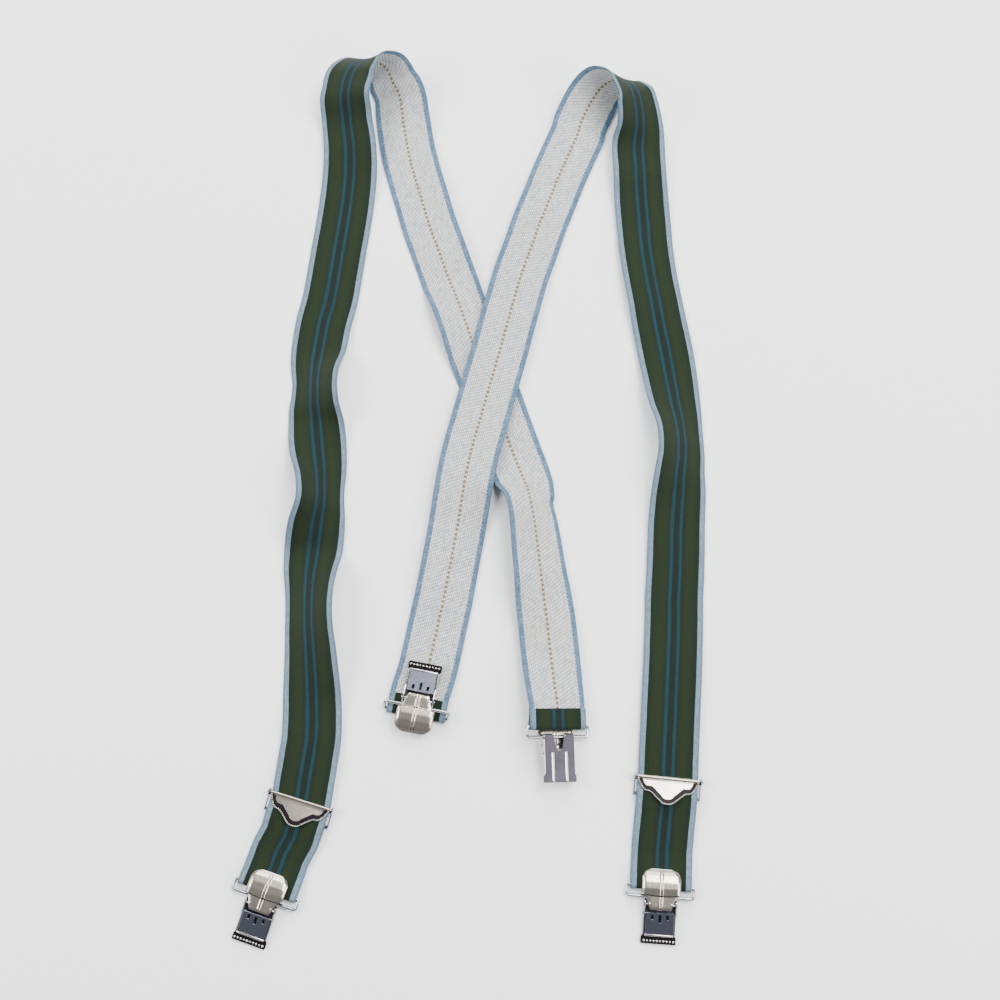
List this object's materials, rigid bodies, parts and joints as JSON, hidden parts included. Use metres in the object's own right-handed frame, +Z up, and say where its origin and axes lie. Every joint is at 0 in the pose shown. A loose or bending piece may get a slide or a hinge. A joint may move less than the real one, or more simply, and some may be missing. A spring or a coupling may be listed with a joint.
{
  "type": "suspenders",
  "caption": "X-back trouser suspenders in woven webbing, laid flat, with bat-wing length adjusters and over-centre metal trouser clips.",
  "frame": {"origin": "centre of the bounding box's underside, on the table that the braces lie on", "axes": "+Y towards the two shoulder loops, +Z up from the table, +X to the wearer-side right strap as laid out"},
  "size_m": [0.2934, 0.5804, 0.038],
  "materials": {
    "webbing": "ribbed woven braid, green with teal stripes and slate edges, pale twill back",
    "nickel": "warm satin nickel plate",
    "dark_nickel": "dark polished nickel plate",
    "steel_wire": "bright plated wire"
  },
  "bodies": {
    "straps": {"left_strap_front": "webbing", "left_strap_shoulder": "webbing", "left_strap_back": "webbing", "right_strap_front": "webbing", "right_strap_shoulder": "webbing", "right_strap_back": "webbing"},
    "left_adjuster": {"left_adjuster_frame": "dark_nickel", "left_adjuster_pin": "steel_wire"},
    "left_adjuster_cover": {"left_adjuster_cover": "nickel"},
    "left_front_loop": {"left_front_loop": "webbing"},
    "left_front_ring": {"left_front_ring": "steel_wire"},
    "left_front_clip": {"left_front_clip_base": "nickel", "left_front_lever_pin": "steel_wire", "left_front_jaw_pin": "steel_wire"},
    "left_front_lever": {"left_front_clip_lever": "nickel"},
    "left_front_jaw": {"left_front_clip_jaw": "dark_nickel"},
    "right_adjuster": {"right_adjuster_frame": "dark_nickel", "right_adjuster_pin": "steel_wire"},
    "right_adjuster_cover": {"right_adjuster_cover": "nickel"},
    "right_front_loop": {"right_front_loop": "webbing"},
    "right_front_ring": {"right_front_ring": "steel_wire"},
    "right_front_clip": {"right_front_clip_base": "nickel", "right_front_lever_pin": "steel_wire", "right_front_jaw_pin": "steel_wire"},
    "right_front_lever": {"right_front_clip_lever": "nickel"},
    "right_front_jaw": {"right_front_clip_jaw": "dark_nickel"},
    "left_back_ring": {"left_back_ring": "steel_wire"},
    "left_back_clip": {"left_back_clip_base": "nickel", "left_back_lever_pin": "steel_wire", "left_back_jaw_pin": "steel_wire"},
    "left_back_lever": {"left_back_clip_lever": "nickel"},
    "left_back_jaw": {"left_back_clip_jaw": "dark_nickel"},
    "right_back_ring": {"right_back_ring": "steel_wire"},
    "right_back_clip": {"right_back_clip_base": "nickel", "right_back_lever_pin": "steel_wire", "right_back_jaw_pin": "steel_wire"},
    "right_back_lever": {"right_back_clip_lever": "nickel"},
    "right_back_jaw": {"right_back_clip_jaw": "dark_nickel"}
  },
  "joints": [
    {"name": "left_adjuster_slide", "type": "slide", "parent": "straps", "child": "left_adjuster", "axis": [0.1392, 0.9903, 0], "range_m": [-0.005, 0.03]},
    {"name": "left_cover_hinge", "type": "hinge", "parent": "left_adjuster", "child": "left_adjuster_cover", "pos_m": [-0.10656, -0.20344, 0.0052], "axis": [-0.9563, 0.2924, 0], "range_deg": [0, 80]},
    {"name": "left_loop_slide", "type": "slide", "parent": "left_adjuster", "child": "left_front_loop", "axis": [0.0702, -0.9975, 0], "range_m": [-0.0031, 0.0162], "deforming": ["left_front_loop"]},
    {"name": "left_front_ring_hinge", "type": "hinge", "parent": "left_front_loop", "child": "left_front_ring", "pos_m": [-0.12527, -0.25508, 0.00295], "axis": [0.9466, -0.3223, 0], "range_deg": [0, 115]},
    {"name": "left_front_clip_hinge", "type": "hinge", "parent": "left_front_ring", "child": "left_front_clip", "pos_m": [-0.12736, -0.26124, 0.00295], "axis": [0.9466, -0.3223, 0], "range_deg": [0, 50]},
    {"name": "left_front_lever_hinge", "type": "hinge", "parent": "left_front_clip", "child": "left_front_lever", "pos_m": [-0.12872, -0.26521, 0.00595], "axis": [0.9466, -0.3223, 0], "range_deg": [0, 90]},
    {"name": "left_front_jaw_hinge", "type": "hinge", "parent": "left_front_clip", "child": "left_front_jaw", "pos_m": [-0.13043, -0.27023, 0.00355], "axis": [0.9466, -0.3223, 0], "range_deg": [-31, 1]},
    {"name": "right_adjuster_slide", "type": "slide", "parent": "straps", "child": "right_adjuster", "axis": [0.0698, 0.9976, 0], "range_m": [-0.008, 0.045]},
    {"name": "right_cover_hinge", "type": "hinge", "parent": "right_adjuster", "child": "right_adjuster_cover", "pos_m": [0.11723, -0.19028, 0.0052], "axis": [-0.9951, 0.0993, 0], "range_deg": [0, 80]},
    {"name": "right_loop_slide", "type": "slide", "parent": "right_adjuster", "child": "right_front_loop", "axis": [-0.0457, -0.999, 0], "range_m": [-0.0045, 0.023], "deforming": ["right_front_loop"]},
    {"name": "right_front_ring_hinge", "type": "hinge", "parent": "right_front_loop", "child": "right_front_ring", "pos_m": [0.11123, -0.25338, 0.00295], "axis": [0.9974, -0.0715, 0], "range_deg": [0, 115]},
    {"name": "right_front_clip_hinge", "type": "hinge", "parent": "right_front_ring", "child": "right_front_clip", "pos_m": [0.11077, -0.25987, 0.00295], "axis": [0.9974, -0.0715, 0], "range_deg": [0, 50]},
    {"name": "right_front_lever_hinge", "type": "hinge", "parent": "right_front_clip", "child": "right_front_lever", "pos_m": [0.11046, -0.26406, 0.00595], "axis": [0.9974, -0.0715, 0], "range_deg": [0, 90]},
    {"name": "right_front_jaw_hinge", "type": "hinge", "parent": "right_front_clip", "child": "right_front_jaw", "pos_m": [0.11009, -0.26934, 0.00355], "axis": [0.9974, -0.0715, 0], "range_deg": [-31, 1]},
    {"name": "left_back_ring_hinge", "type": "hinge", "parent": "straps", "child": "left_back_ring", "pos_m": [0.04963, -0.15878, 0.0096], "axis": [-0.9394, -0.0246, 0.342], "range_deg": [0, 130]},
    {"name": "left_back_clip_hinge", "type": "hinge", "parent": "left_back_ring", "child": "left_back_clip", "pos_m": [0.0498, -0.16528, 0.0096], "axis": [-0.9394, -0.0246, 0.342], "range_deg": [0, 50]},
    {"name": "left_back_lever_hinge", "type": "hinge", "parent": "left_back_clip", "child": "left_back_lever", "pos_m": [0.04888, -0.16951, 0.00678], "axis": [-0.9394, -0.0246, 0.342], "range_deg": [0, 90]},
    {"name": "left_back_jaw_hinge", "type": "hinge", "parent": "left_back_clip", "child": "left_back_jaw", "pos_m": [0.04984, -0.17478, 0.00904], "axis": [-0.9394, -0.0246, 0.342], "range_deg": [-31, 1]},
    {"name": "right_back_ring_hinge", "type": "hinge", "parent": "straps", "child": "right_back_ring", "pos_m": [-0.03737, -0.15108, 0.0024], "axis": [-0.9816, 0.1908, 0], "range_deg": [-130, 0]},
    {"name": "right_back_clip_hinge", "type": "hinge", "parent": "right_back_ring", "child": "right_back_clip", "pos_m": [-0.03657, -0.14698, 0.00738], "axis": [-0.9816, 0.1908, 0], "range_deg": [-50, 0]},
    {"name": "right_back_lever_hinge", "type": "hinge", "parent": "right_back_clip", "child": "right_back_lever", "pos_m": [-0.03577, -0.14286, 0.01038], "axis": [-0.9816, 0.1908, 0], "range_deg": [0, 90]},
    {"name": "right_back_jaw_hinge", "type": "hinge", "parent": "right_back_clip", "child": "right_back_jaw", "pos_m": [-0.03476, -0.13766, 0.00798], "axis": [-0.9816, 0.1908, 0], "range_deg": [-31, 1]}
  ],
  "couplings": [
    {"joint": "left_loop_slide", "follows": "left_adjuster_slide", "ratio": 0.52353},
    {"joint": "left_front_jaw_hinge", "follows": "left_front_lever_hinge", "ratio": -0.33333},
    {"joint": "right_loop_slide", "follows": "right_adjuster_slide", "ratio": 0.50029},
    {"joint": "right_front_jaw_hinge", "follows": "right_front_lever_hinge", "ratio": -0.33333},
    {"joint": "left_back_jaw_hinge", "follows": "left_back_lever_hinge", "ratio": -0.33333},
    {"joint": "right_back_jaw_hinge", "follows": "right_back_lever_hinge", "ratio": -0.33333}
  ]
}
